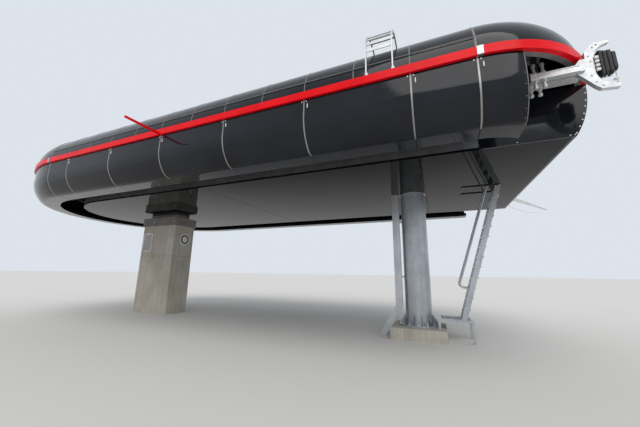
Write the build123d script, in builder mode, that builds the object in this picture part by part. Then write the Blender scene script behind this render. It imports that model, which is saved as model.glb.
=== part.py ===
from build123d import *
import os
from math import asin, cos, radians, sin, sqrt

# Ropeway terminal station: a long covered platform on a mast and a pillar.
# +X points to the line side, +Y to the far side and +Z up.
# The origin is on the mast's axis, at floor level. Sizes are in millimetres.

os.makedirs("parts", exist_ok=True)

# Plan of the covers
MODULE = 2000
MODULE_COUNT = 5
HALF_WIDTH = 4420
FRONT_CORNER_R = 1900
FRONT_SEAM_X = 1390
MOUTH_X = {"near": 2030, "far": 1750}
SEAM = 12
SKIN = 45

# Heights above the floor
BELLY_Z = 4080
LIP_Z = 4010
BAND_Z = 5030
BAND_HEIGHT = 150
BAND_DEPTH = 80
SLEEVE_LENGTH = 90
SLEEVE_PROUD = 6
LEDGE = (90, 8)

# Roof section
ROOF_INSET = 45
SHOULDER_R = 900
CROWN_R = 2600

# Side cover section
COVER_INSET = 50
COVER_STRAIGHT = 380
COVER_DROP = 940
COVER_LOW_IN = 220
LIP_INSET = 840
LIP_RETURN = 110
REAR_COVER_COUNT = 3
REAR_SEAM_ANGLE = 0.2
REAR_LIP = 400
REAR_LIP_COUNT = 12

# Slot for the carriers, belly and nose
SLOT_WIDTH = 660
BELLY_SKIN = 50
BELLY_SEAMS = (390, -5610)
NOSE_WALL = 30
NOSE_BACK_X = 1500
NOSE_TOP_X = 3225
NOSE_MID = (3207, 4720)
NOSE_LOW = (3115, 4360)
NOSE_FOOT_X = 2975

# Mast, footing and pillar
MAST_R = 355.5
MAST_WALL = 12.5
FOOTING = 1400
FOOTING_HEIGHT = 300
FLANGE_R = 540
FLANGE_T = 45
GUSSET_COUNT = 12
GUSSET_HEIGHT = 260
GUSSET_T = 16
PILLAR_X = -10370
PILLAR_LENGTH = 1900
PILLAR_WIDTH = 1000
HEAD_HEIGHT = 350
HEAD_OVERHANG = 35
BEARING_HEIGHT = 150
BEARING_INSET = 180
PILLAR_HEIGHT = BELLY_Z - BEARING_HEIGHT - HEAD_HEIGHT

# Steelwork
GIRDER_WIDTH = 900
GIRDER_HEIGHT = 480
GIRDER_WALL = 20
GIRDER_FRONT_X = 2000
GIRDER_REAR_INSET = 160
REAR_FRAME_INSET = 990
FRAME_Z = 5320
FRAME_DEPTH = 120
FRAME_WIDTH = 120
TIE_Y = 800
TIE_HEIGHT = 120
OUTER_POST_INSET = 230
OUTER_POST_WIDTH = 80
OUTER_POST_Z = 4340
CLIP_MARGIN = 30

# Running rail, guide rail and tyre conveyor
RAIL_FROM_LIP = 160
RAIL_Z = 4620
RAIL_WIDTH = 70
RAIL_HEIGHT = 110
RAIL_FRONT_X = 2000
RAIL_JOINT = 0.3
RAIL_RING_LENGTHS = 4
GUIDE_RING_LENGTHS = 12
BRACKET_WIDTH = 80
BRACKET_MARGIN = 15
GUIDE_RAIL_T = 20
GUIDE_RAIL_HEIGHT = 190
CONVEYOR_FROM_RAIL = 660
CONVEYOR_Z = 5000
CONVEYOR_WIDTH = 100
CONVEYOR_HEIGHT = 160
TYRE_FROM_RAIL = 360
TYRE_R = 210
TYRE_WIDTH = 70
HUB_R = 110
HUB_WIDTH = 90
TYRE_PITCH = 520
TYRE_COUNT = 4
TYRE_FRONT_X = 1060
AXLE_R = 17.5
COLLAR_R = 32
FIT_GAP = 0.1
SIDE_GAP = 1.5

# Bullwheel
ROPE_FROM_BELLY = 130
RIM_DEPTH = 130
RIM_HEIGHT = 150
GROOVE_R = 28
BULLWHEEL_Z = 4800
HUB_HEIGHT = 300
BULLWHEEL_HUB_R = 260
SPOKE_COUNT = 8
SPOKE_WIDTH = 140
SPOKE_HEIGHT = 90
SHAFT_R = 120

# Fork arms and guide horn, placed from the front of the band
ARM_INSET = 820
ARM_WIDTH = 320
ARM_Z = 4800
ARM_HEIGHT = 110
ARM_BACK = 1075
ARM_FRONT = 390
ARM_GROOVE = (100, 25, 60)
FORK_FROM_ARM = 75
FORK_THICKNESS = 80
FORK_Z = 4890
FORK_THROAT = (258, 140)
FORK_BAND_GAP = 8
ROD_R = 22
ROD_BACK = (1020, 900)
ROD_Y = 120
ROD_BELOW = 110
ROD_ABOVE = 170
HANGER = (50, 120)
BUFFER_BACK_AND_HALF = ((180, 225), (128, 205), (76, 205), (28, 160))
BUFFER_T = 30
BUFFER_WIDTH = 150
BUFFER_CORE = (80, 250)
HORN_FROM_BELLY = 320
HORN_T = 20
HORN_POST_BACK = (810, 730)
HORN_POST_Z = 4500
HORN_ROD_R = 16

# Access ladder and its platform
LADDER_FOOT = (1065, 560)
LADDER_TOP_X = 2162
LADDER_HALF_WIDTH = 300
STRINGER = (45, 130)
TREAD_COUNT = 12
TREAD = (150, 30)
HANDRAIL_R = 20
HANDRAIL_AWAY = (290, 190)
HANDRAIL_FOOT_Z = 1500
PLATFORM = (500, 1350)
PLATFORM_HALF_WIDTH = 400
PLATFORM_T = 60
LEG = 60
GRATING_RIM = 75
GRATING_BAR = 10
GRATING_BAYS = 16

# Cable duct
DUCT_X = -500
DUCT_Y = -150
DUCT_LENGTH = 200
DUCT_WIDTH = 120
DUCT_ELBOW_Z = 820
DUCT_FOOT_X = -990
DUCT_CLIP = 50
DUCT_CLIP_Z = (1600, 3200)

# Roof ladder, roof line and outrigger
ROOF_LADDER_X = (-370, 100)
ROOF_RAIL = (24, 40)
ROOF_LADDER_INSET = 42
ROOF_LADDER_BEND = 520
ROOF_LADDER_TOP_INSET = 560
ROOF_LADDER_RISE = 1120
ROOF_LADDER_END_INSET = 1220
SEAT_GAP = 0.3
SLAT_COUNT = 7
SLAT = (60, 14)
LINE_ANGLE = 15
LINE_R = 8
LINE_AWAY = 18
OUTRIGGER_SEAM = 4
OUTRIGGER_REACH = 850
OUTRIGGER_SIDE = 44

REAR_X = FRONT_SEAM_X - MODULE * (MODULE_COUNT + 1)
CORNER_Y = HALF_WIDTH - FRONT_CORNER_R
FRONT_X = FRONT_SEAM_X + FRONT_CORNER_R
LIP_HALF_WIDTH = HALF_WIDTH - LIP_INSET
BELLY_HALF_WIDTH = LIP_HALF_WIDTH - SLOT_WIDTH
RAIL_Y = LIP_HALF_WIDTH - RAIL_FROM_LIP
TYRE_Y = RAIL_Y - TYRE_FROM_RAIL
CONVEYOR_Y = RAIL_Y - CONVEYOR_FROM_RAIL
BULLWHEEL_R = BELLY_HALF_WIDTH + ROPE_FROM_BELLY
ARM_Y = HALF_WIDTH - ARM_INSET
FORK_Y = ARM_Y + FORK_FROM_ARM
FORK_THROAT_X = FRONT_X - FORK_THROAT[0]
ROD_X = [FRONT_X - back for back in ROD_BACK]
HORN_Y = BELLY_HALF_WIDTH + HORN_FROM_BELLY
OUTER_POST_Y = HALF_WIDTH - OUTER_POST_INSET
REAR_FRAME_AWAY = OUTER_POST_Y - REAR_FRAME_INSET
BAND_TOP = BAND_Z + BAND_HEIGHT
GIRDER_Z = BELLY_Z + BELLY_SKIN
GIRDER_TOP = GIRDER_Z + GIRDER_HEIGHT
FRAME_TOP = FRAME_Z + FRAME_DEPTH
POST_OUTER_Y = OUTER_POST_Y + OUTER_POST_WIDTH / 2
REAR_FRAME_X = REAR_X - REAR_FRAME_AWAY
GIRDER_REAR_X = REAR_X - BELLY_HALF_WIDTH + GIRDER_REAR_INSET
REAR_POST_Y = sqrt(OUTER_POST_Y**2 - REAR_FRAME_AWAY**2)
HALF_SEAM_X = FRONT_SEAM_X - MODULE / 2
COVER_SEAMS = [FRONT_SEAM_X]
COVER_SEAMS += [HALF_SEAM_X - MODULE * i for i in range(MODULE_COUNT + 1)]
COVER_SEAMS += [REAR_X]
ROOF_STRIP = MODULE / 2
ROOF_STRIP_COUNT = 2 * (MODULE_COUNT + 1)
SHOULDER_Y = HALF_WIDTH - ROOF_INSET - SHOULDER_R
SIDES = {"near": -1, "far": 1}


def save(part, name):
    part.label = name
    export_step(part, f"parts/{name}.step")


def far_side(part):
    """The far copy of a near part."""
    return mirror(part, about=Plane.XZ)


def save_both(part, name):
    """A near part and its far copy, as one node of separate solids."""
    with BuildPart() as pair:
        add(part)
        add(far_side(part))
    save(pair.part, name)


def radial_plane(x, y, angle):
    """An upright plane through a vertical axis: its x runs outward, its y up."""
    a = radians(angle)
    return Plane(origin=(x, y, 0), x_dir=(cos(a), sin(a), 0), z_dir=(sin(a), -cos(a), 0))


def block(x, y, z):
    """A box from its low and high places along each axis."""
    size = Box(x[1] - x[0], y[1] - y[0], z[1] - z[0], mode=Mode.PRIVATE)
    return Pos((x[0] + x[1]) / 2, (y[0] + y[1]) / 2, (z[0] + z[1]) / 2) * size


def low_high(side, a, b):
    """Two distances from the centreline as a low and a high Y on that side."""
    return sorted((side * a, side * b))


def slab(low, high):
    """A block that keeps only what lies between two X places."""
    reach = 2 * HALF_WIDTH
    return block((low, high), (-reach, reach), (0, 2 * BAND_TOP))


def plan_outline(inset):
    """Plan of the covers: straight sides, two round front corners and a half-round rear."""
    with BuildSketch() as plan:
        with Locations(((REAR_X + FRONT_SEAM_X) / 2, 0)):
            Rectangle(FRONT_SEAM_X - REAR_X, 2 * (HALF_WIDTH - inset))
        with Locations((REAR_X, 0)):
            Circle(HALF_WIDTH - inset)
        with Locations((FRONT_SEAM_X, CORNER_Y), (FRONT_SEAM_X, -CORNER_Y)):
            Circle(FRONT_CORNER_R - inset)
        with Locations(((FRONT_SEAM_X + FRONT_X - inset) / 2, 0)):
            Rectangle(FRONT_CORNER_R - inset, 2 * CORNER_Y)
    return plan.sketch


def dome_fill(flat, inset):
    """Filled roof section outward from an axis, level for the first stretch."""
    outer = flat + FRONT_CORNER_R - ROOF_INSET - inset
    shoulder_r = SHOULDER_R - inset
    crown_r = CROWN_R - inset
    shoulder_u = outer - shoulder_r
    turn = asin((shoulder_u - flat) / (crown_r - shoulder_r))
    crown_z = BAND_TOP - (crown_r - shoulder_r) * cos(turn)
    top = crown_z + crown_r
    half = (radians(90) - turn) / 2
    join = (flat + crown_r * sin(turn), crown_z + crown_r * cos(turn))
    shoulder_mid = (shoulder_u + shoulder_r * cos(half), BAND_TOP + shoulder_r * sin(half))
    crown_mid = (flat + crown_r * sin(turn / 2), crown_z + crown_r * cos(turn / 2))
    with BuildSketch() as face:
        with BuildLine():
            Line((0, BAND_TOP), (outer, BAND_TOP))
            ThreePointArc((outer, BAND_TOP), shoulder_mid, join)
            ThreePointArc(join, crown_mid, (flat, top))
            if flat:
                Line((flat, top), (0, top))
            Line((0, top), (0, BAND_TOP))
        make_face()
    return face.sketch


def dome_section(flat):
    return dome_fill(flat, 0) - dome_fill(flat, SKIN)


def cover_section(axis_offset):
    """Side cover section: an upright wall that curves in, a turn and a lip; x runs outward."""
    top = (HALF_WIDTH - COVER_INSET - axis_offset, BAND_Z)
    bend = (top[0], BAND_Z - COVER_STRAIGHT)
    low = (top[0] - COVER_LOW_IN, BAND_Z - COVER_DROP)
    lip = LIP_HALF_WIDTH - axis_offset
    with BuildSketch() as section:
        with BuildLine():
            Line(top, bend)
            wall = TangentArc(bend, low, tangent=(0, -1))
            heading = wall % 1
            turn_r = (low[1] - LIP_Z) / (1 - abs(heading.X))
            turn_end = (low[0] - turn_r * abs(heading.Y), LIP_Z)
            TangentArc(low, turn_end, tangent=heading)
            Polyline(turn_end, (lip, LIP_Z), (lip, LIP_Z + LIP_RETURN))
            offset(amount=SKIN, side=Side.RIGHT, closed=True)
        make_face()
    return section.sketch


def nose_fill(inset):
    """Filled nose section in X and Z, from its back to its bulging front."""
    top = (NOSE_TOP_X - inset, BAND_Z)
    middle = (NOSE_MID[0] - inset, NOSE_MID[1])
    low = (NOSE_LOW[0] - inset, NOSE_LOW[1])
    with BuildSketch(Plane.XZ) as face:
        with BuildLine():
            wall = ThreePointArc(top, middle, low)
            TangentArc(low, (NOSE_FOOT_X - inset, BELLY_Z), tangent=wall % 1)
            Polyline(
                (NOSE_FOOT_X - inset, BELLY_Z),
                (NOSE_BACK_X, BELLY_Z),
                (NOSE_BACK_X, BAND_Z),
                top,
            )
        make_face()
    return face.sketch


# Footing and mast

with BuildPart() as footing:
    with BuildSketch():
        Rectangle(FOOTING, FOOTING)
    extrude(amount=FOOTING_HEIGHT)
    chamfer(footing.edges().group_by(Axis.Z)[-1], 20)
save(footing.part, "mast_footing")

gusset_foot = FOOTING_HEIGHT + FLANGE_T
with BuildPart() as gusset:
    with BuildSketch(Plane.XZ):
        with BuildLine():
            Polyline(
                (MAST_R - MAST_WALL / 2, gusset_foot),
                (FLANGE_R - 20, gusset_foot),
                (FLANGE_R - 20, gusset_foot + 40),
                (MAST_R + 20, gusset_foot + GUSSET_HEIGHT),
                (MAST_R - MAST_WALL / 2, gusset_foot + GUSSET_HEIGHT),
                close=True,
            )
        make_face()
    extrude(amount=GUSSET_T / 2, both=True)

with BuildPart() as mast:
    with BuildSketch(Plane.XY.offset(FOOTING_HEIGHT)):
        Circle(MAST_R)
        Circle(MAST_R - MAST_WALL, mode=Mode.SUBTRACT)
    extrude(amount=BELLY_Z - FOOTING_HEIGHT)
    with BuildSketch(Plane.XY.offset(FOOTING_HEIGHT)):
        Circle(FLANGE_R)
        Circle(MAST_R - MAST_WALL, mode=Mode.SUBTRACT)
    extrude(amount=FLANGE_T)
    with PolarLocations(0, GUSSET_COUNT, start_angle=180 / GUSSET_COUNT):
        add(gusset.part)
save(mast.part, "mast")

# Pillar and its bearing

with BuildPart() as pillar:
    with BuildSketch():
        with Locations((PILLAR_X, 0)):
            Rectangle(PILLAR_LENGTH, PILLAR_WIDTH)
    extrude(amount=PILLAR_HEIGHT)
    chamfer(pillar.edges().filter_by(Axis.Z), 25)
save(pillar.part, "pillar")

head_top = PILLAR_HEIGHT + HEAD_HEIGHT
with BuildPart() as bearing:
    with BuildSketch(Plane.XY.offset(PILLAR_HEIGHT)):
        with Locations((PILLAR_X, 0)):
            Rectangle(PILLAR_LENGTH + 2 * HEAD_OVERHANG, PILLAR_WIDTH + 2 * HEAD_OVERHANG)
    extrude(amount=HEAD_HEIGHT)
    with BuildSketch(Plane.XY.offset(head_top)):
        with Locations((PILLAR_X, 0)):
            Rectangle(PILLAR_LENGTH - 2 * BEARING_INSET, PILLAR_WIDTH - 2 * BEARING_INSET)
    extrude(amount=BEARING_HEIGHT)
save(bearing.part, "pillar_bearing")

# Steelwork inside the covers

with BuildPart() as girder:
    with BuildSketch(Plane.YZ.offset(GIRDER_REAR_X)):
        with Locations((0, GIRDER_Z + GIRDER_HEIGHT / 2)):
            Rectangle(GIRDER_WIDTH, GIRDER_HEIGHT)
            Rectangle(
                GIRDER_WIDTH - 2 * GIRDER_WALL,
                GIRDER_HEIGHT - 2 * GIRDER_WALL,
                mode=Mode.SUBTRACT,
            )
    extrude(amount=GIRDER_FRONT_X - GIRDER_REAR_X)
save(girder.part, "main_girder")

half = FRAME_WIDTH / 2
post_half = OUTER_POST_WIDTH / 2
frames = [(x, OUTER_POST_Y) for x in COVER_SEAMS] + [(REAR_FRAME_X, REAR_POST_Y)]

with BuildPart() as cross_beams:
    for x, post_y in frames:
        reach = post_y + post_half
        add(block((x - half, x + half), (-reach, reach), (FRAME_Z, FRAME_TOP)))
save(cross_beams.part, "cross_beams")

with BuildPart() as tie_beams:
    for side in SIDES.values():
        tie_y = low_high(side, TIE_Y - half, TIE_Y + half)
        tie_z = (FRAME_TOP, FRAME_TOP + TIE_HEIGHT)
        add(block((REAR_FRAME_X - half, FRONT_SEAM_X + half), tie_y, tie_z))
        outrigger_y = low_high(side, ARM_Y - ROD_Y - half, ARM_Y + ROD_Y + half)
        reach = (FRONT_SEAM_X + half, ROD_X[-1] + half)
        add(block(reach, outrigger_y, (FRAME_Z, FRAME_TOP)))
save(tie_beams.part, "tie_beams")

with BuildPart() as frame_posts:
    for x, post_y in frames:
        for side in SIDES.values():
            outer_y = low_high(side, post_y - post_half, post_y + post_half)
            add(block((x - half, x + half), outer_y, (OUTER_POST_Z, FRAME_Z)))
            if x > REAR_X + BULLWHEEL_R + FRAME_WIDTH:
                inner_y = low_high(side, GIRDER_WIDTH / 2 - FRAME_WIDTH, GIRDER_WIDTH / 2)
                add(block((x - half, x + half), inner_y, (GIRDER_TOP, FRAME_Z)))
save(frame_posts.part, "frame_posts")

with BuildPart() as band_clips:
    for x in COVER_SEAMS:
        for side in SIDES.values():
            clip_x = (max(x - half, REAR_X), min(x + half, FRONT_SEAM_X))
            clip_y = low_high(side, POST_OUTER_Y, HALF_WIDTH - BAND_DEPTH)
            add(block(clip_x, clip_y, (BAND_Z + CLIP_MARGIN, BAND_TOP - CLIP_MARGIN)))
save(band_clips.part, "band_clips")

# Running rail round the bullwheel, in lengths, with the brackets that carry it


def rail_plan(outer, inner, front_x, ring_lengths):
    """Plan of a rail down both sides and round the rear, cut into lengths."""
    with BuildSketch() as plan:
        for edge, mode in ((outer, Mode.ADD), (inner, Mode.SUBTRACT)):
            with Locations((REAR_X, 0)):
                Circle(edge, mode=mode)
            with Locations(((REAR_X + front_x) / 2, 0)):
                Rectangle(front_x - REAR_X, 2 * edge, mode=mode)
        with Locations((BELLY_SEAMS[1], 0)):
            Rectangle(RAIL_JOINT, 3 * outer, mode=Mode.SUBTRACT)
        for i in range(ring_lengths + 1):
            with Locations(Location((REAR_X, 0, 0), (0, 0, 90 + 180 * i / ring_lengths))):
                with Locations((outer, 0)):
                    Rectangle(outer, RAIL_JOINT, mode=Mode.SUBTRACT)
    return plan.sketch


rail_edge = RAIL_WIDTH / 2
with BuildPart() as rail:
    with BuildSketch(Plane.XY.offset(RAIL_Z)):
        add(rail_plan(RAIL_Y + rail_edge, RAIL_Y - rail_edge, RAIL_FRONT_X, RAIL_RING_LENGTHS))
    extrude(amount=RAIL_HEIGHT)
save(rail.part, "running_rail")

with BuildPart() as rail_brackets:
    width = BRACKET_WIDTH / 2
    height = (RAIL_Z + BRACKET_MARGIN, RAIL_Z + RAIL_HEIGHT - BRACKET_MARGIN)
    for x in COVER_SEAMS[:-1]:
        for side in SIDES.values():
            reach = low_high(side, RAIL_Y + RAIL_WIDTH / 2, OUTER_POST_Y - post_half)
            add(block((x - width, x + width), reach, height))
    rear_reach = sqrt((RAIL_Y + RAIL_WIDTH / 2) ** 2 - (REAR_FRAME_AWAY - width) ** 2)
    for side in SIDES.values():
        reach = low_high(side, rear_reach, REAR_POST_Y - post_half)
        add(block((REAR_FRAME_X - width, REAR_FRAME_X + width), reach, height))
save(rail_brackets.part, "rail_brackets")

# Guide rail on the belly's edge, which steadies the carriers' hangers in the slot

guide_edges = (BELLY_HALF_WIDTH, BELLY_HALF_WIDTH - GUIDE_RAIL_T)
with BuildPart() as guide_rail:
    with BuildSketch(Plane.XY.offset(GIRDER_Z)):
        add(rail_plan(*guide_edges, NOSE_BACK_X, GUIDE_RING_LENGTHS))
    extrude(amount=GUIDE_RAIL_HEIGHT)
save(guide_rail.part, "guide_rail")

# Tyre conveyors with their axles, and the tyres

axle_z = CONVEYOR_Z + CONVEYOR_HEIGHT / 2
tyre_x = [TYRE_FRONT_X - TYRE_PITCH * i for i in range(TYRE_COUNT)]
beam_face = CONVEYOR_Y + CONVEYOR_WIDTH / 2
hub_in = TYRE_Y - HUB_WIDTH / 2
hub_out = TYRE_Y + HUB_WIDTH / 2

with BuildPart() as conveyor:
    y = (-beam_face, -beam_face + CONVEYOR_WIDTH)
    add(block((REAR_X, FRONT_SEAM_X), y, (CONVEYOR_Z, CONVEYOR_Z + CONVEYOR_HEIGHT)))
    for x in COVER_SEAMS:
        low, high = (max(x - 50, REAR_X), min(x + 50, FRONT_SEAM_X))
        add(block((low, high), y, (CONVEYOR_Z + CONVEYOR_HEIGHT, FRAME_Z)))
    for x in tyre_x:
        with BuildSketch(Plane.XZ.offset(beam_face)):
            with Locations((x, axle_z)):
                Circle(COLLAR_R)
        extrude(amount=hub_in - SIDE_GAP - beam_face)
        with BuildSketch(Plane.XZ.offset(hub_in - SIDE_GAP)):
            with Locations((x, axle_z)):
                Circle(AXLE_R)
        extrude(amount=HUB_WIDTH + 2 * SIDE_GAP)
        with BuildSketch(Plane.XZ.offset(hub_out + SIDE_GAP)):
            with Locations((x, axle_z)):
                Circle(COLLAR_R)
        extrude(amount=12)
save_both(conveyor.part, "conveyors")

for i, x in enumerate(tyre_x, start=1):
    with BuildPart() as tyre:
        with BuildSketch(Plane.XZ.offset(hub_in)):
            with Locations((x, axle_z)):
                Circle(HUB_R)
        extrude(amount=HUB_WIDTH)
        with BuildSketch(Plane.XZ.offset(TYRE_Y - TYRE_WIDTH / 2)):
            with Locations((x, axle_z)):
                Circle(TYRE_R)
        extrude(amount=TYRE_WIDTH)
        fillet(tyre.edges().filter_by(GeomType.CIRCLE).group_by(SortBy.RADIUS)[-1], 16)
        with BuildSketch(Plane.XZ.offset(hub_in)):
            with Locations((x, axle_z)):
                Circle(AXLE_R + FIT_GAP)
        extrude(amount=HUB_WIDTH, mode=Mode.SUBTRACT)
    save(tyre.part, f"tyre_near_{i}")
    save(far_side(tyre.part), f"tyre_far_{i}")

# Bullwheel and its shaft

with BuildPart() as bullwheel:
    with BuildSketch(radial_plane(REAR_X, 0, 0)):
        with Locations((BULLWHEEL_R - RIM_DEPTH / 2, BULLWHEEL_Z)):
            Rectangle(RIM_DEPTH, RIM_HEIGHT)
        with Locations((BULLWHEEL_R, BULLWHEEL_Z)):
            Circle(GROOVE_R, mode=Mode.SUBTRACT)
        with Locations(((BULLWHEEL_HUB_R + SHAFT_R + FIT_GAP) / 2, BULLWHEEL_Z)):
            Rectangle(BULLWHEEL_HUB_R - SHAFT_R - FIT_GAP, HUB_HEIGHT)
    revolve(axis=Axis((REAR_X, 0, 0), (0, 0, 1)))
    with BuildSketch(Plane.XY.offset(BULLWHEEL_Z - SPOKE_HEIGHT / 2)):
        with Locations((REAR_X, 0)):
            with PolarLocations((BULLWHEEL_HUB_R + BULLWHEEL_R - RIM_DEPTH) / 2, SPOKE_COUNT):
                Rectangle(BULLWHEEL_R - RIM_DEPTH - BULLWHEEL_HUB_R + 40, SPOKE_WIDTH)
    extrude(amount=SPOKE_HEIGHT)
save(bullwheel.part, "bullwheel")

hub_low = BULLWHEEL_Z - HUB_HEIGHT / 2
hub_high = BULLWHEEL_Z + HUB_HEIGHT / 2
with BuildPart() as shaft:
    for z, top, radius in (
        (GIRDER_TOP, hub_low - SIDE_GAP, BULLWHEEL_HUB_R - 30),
        (hub_low - SIDE_GAP, hub_high + SIDE_GAP, SHAFT_R),
        (hub_high + SIDE_GAP, FRAME_Z, SHAFT_R + 60),
    ):
        with BuildSketch(Plane.XY.offset(z)):
            with Locations((REAR_X, 0)):
                Circle(radius)
        extrude(amount=top - z)
save(shaft.part, "bullwheel_shaft")

# Roof covers in strips, a rounded front cap and a half-round rear cap

side_dome = dome_section(CORNER_Y)
corner_dome = dome_section(0)

with BuildPart() as roof_covers:
    for i in range(ROOF_STRIP_COUNT):
        high = FRONT_SEAM_X - ROOF_STRIP * i - SEAM / 2
        with BuildSketch(radial_plane(high, 0, -90)):
            add(side_dome)
            mirror(about=Plane.YZ)
        extrude(amount=ROOF_STRIP - SEAM)
save(roof_covers.part, "roof_covers")

with BuildPart() as roof_front:
    with BuildSketch(radial_plane(FRONT_SEAM_X, CORNER_Y, 0)):
        add(corner_dome)
    extrude(amount=2 * CORNER_Y)
    for side, start in ((-1, -90), (1, 0)):
        with BuildSketch(radial_plane(FRONT_SEAM_X, side * CORNER_Y, start)):
            add(corner_dome)
        revolve(axis=Axis((FRONT_SEAM_X, side * CORNER_Y, 0), (0, 0, 1)), revolution_arc=90)
save(roof_front.part, "roof_front_cap")

with BuildPart() as roof_rear:
    with BuildSketch(radial_plane(REAR_X, 0, 90)):
        add(side_dome)
    revolve(axis=Axis((REAR_X, 0, 0), (0, 0, 1)), revolution_arc=180)
save(roof_rear.part, "roof_rear_cap")

# Red band under the roof, in four lengths with a sleeve at each joint

band_plan = plan_outline(0) - plan_outline(BAND_DEPTH)
sleeve_plan = plan_outline(-SLEEVE_PROUD) - plan_outline(BAND_DEPTH)

with BuildPart() as band:
    with BuildSketch(Plane.XY.offset(BAND_Z)):
        add(band_plan)
    extrude(amount=BAND_HEIGHT)

far_out = 2 * HALF_WIDTH
band_pieces = (
    ("bands_side", (REAR_X, FRONT_SEAM_X)),
    ("band_front", (FRONT_SEAM_X + SLEEVE_LENGTH, far_out)),
    ("band_rear", (2 * REAR_X, REAR_X - SLEEVE_LENGTH)),
)
for name, x_span in band_pieces:
    with BuildPart() as piece:
        add(band.part)
        add(block(x_span, (-far_out, far_out), (BAND_Z, BAND_TOP)), mode=Mode.INTERSECT)
    save(piece.part, name)

with BuildPart() as sleeves:
    with BuildSketch(Plane.XY.offset(BAND_Z)):
        add(sleeve_plan)
    extrude(amount=BAND_HEIGHT)
    with BuildSketch():
        for x in (FRONT_SEAM_X + SLEEVE_LENGTH / 2, REAR_X - SLEEVE_LENGTH / 2):
            with Locations((x, 0)):
                Rectangle(SLEEVE_LENGTH, 2 * far_out)
    extrude(amount=2 * BAND_TOP, mode=Mode.INTERSECT)
save(sleeves.part, "band_sleeves")

# Ledge that closes the roof's edge over the mouths

ledge_plan = plan_outline(BAND_DEPTH) - plan_outline(BAND_DEPTH + LEDGE[0])
with BuildPart() as ledge:
    with BuildSketch(Plane.XY.offset(BAND_Z)):
        add(ledge_plan)
    extrude(amount=LEDGE[1])
    add(slab(FRONT_SEAM_X + SLEEVE_LENGTH, far_out), mode=Mode.INTERSECT)
save(ledge.part, "mouth_ledge")

# Side covers

side_section = cover_section(0)
corner_section = cover_section(CORNER_Y)

with BuildPart() as side_covers:
    for high, low in zip(COVER_SEAMS, COVER_SEAMS[1:]):
        with BuildSketch(radial_plane(high - SEAM / 2, 0, -90)):
            add(side_section)
        extrude(amount=high - low - SEAM)
save_both(side_covers.part, "side_covers")

with BuildPart() as mouth_sweep:
    with BuildSketch(radial_plane(FRONT_SEAM_X, -CORNER_Y, -90)):
        add(corner_section)
    revolve(axis=Axis((FRONT_SEAM_X, -CORNER_Y, 0), (0, 0, 1)), revolution_arc=60)



def mouth_cover(swept, side):
    """A mouth cover cut off at its own front edge."""
    with BuildPart() as cover:
        add(swept)
        add(slab(FRONT_SEAM_X + SEAM / 2, MOUTH_X[side]), mode=Mode.INTERSECT)
    return cover.part


near_mouth = mouth_cover(mouth_sweep.part, "near")
far_mouth = mouth_cover(far_side(mouth_sweep.part), "far")
with BuildPart() as mouth_covers:
    add(near_mouth)
    add(far_mouth)
save(mouth_covers.part, "mouth_covers")

lip_u = LIP_HALF_WIDTH + REAR_LIP
with BuildSketch() as rear_lip_area:
    with Locations((lip_u / 2, BELLY_Z)):
        Rectangle(lip_u, BELLY_Z)
rear_axis = Axis((REAR_X, 0, 0), (0, 0, 1))
rear_nodes = (
    ("side_covers_rear", side_section - rear_lip_area.sketch, REAR_COVER_COUNT),
    ("rear_lips", side_section & rear_lip_area.sketch, REAR_LIP_COUNT),
)
for name, section, count in rear_nodes:
    with BuildPart() as rear_covers:
        for i in range(count):
            start = 90 + 180 / count * i + REAR_SEAM_ANGLE / 2
            with BuildSketch(radial_plane(REAR_X, 0, start)):
                add(section)
            revolve(axis=rear_axis, revolution_arc=180 / count - REAR_SEAM_ANGLE)
    save(rear_covers.part, name)

# Belly between the slots, and the nose between the mouths

with BuildPart() as belly:
    with BuildSketch(Plane.XY.offset(BELLY_Z)):
        with Locations((REAR_X, 0)):
            Circle(BELLY_HALF_WIDTH)
        front = NOSE_FOOT_X - SKIN
        with Locations(((REAR_X + front) / 2, 0)):
            Rectangle(front - REAR_X, 2 * BELLY_HALF_WIDTH)
    extrude(amount=BELLY_SKIN)

with BuildPart() as belly_panels:
    add(belly.part)
    for x in BELLY_SEAMS:
        add(slab(x - SEAM / 2, x + SEAM / 2), mode=Mode.SUBTRACT)
save(belly_panels.part, "belly_panels")

nose_outside = nose_fill(0)
nose_inside = nose_fill(SKIN)

with BuildPart() as nose:
    extrude(nose_outside, amount=BELLY_HALF_WIDTH + NOSE_WALL, both=True)
    extrude(nose_inside, amount=BELLY_HALF_WIDTH, both=True, mode=Mode.SUBTRACT)
save(nose.part, "nose")

# Rope fork arms, hung from the frame by rods, with rubber buffers in the forks

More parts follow.
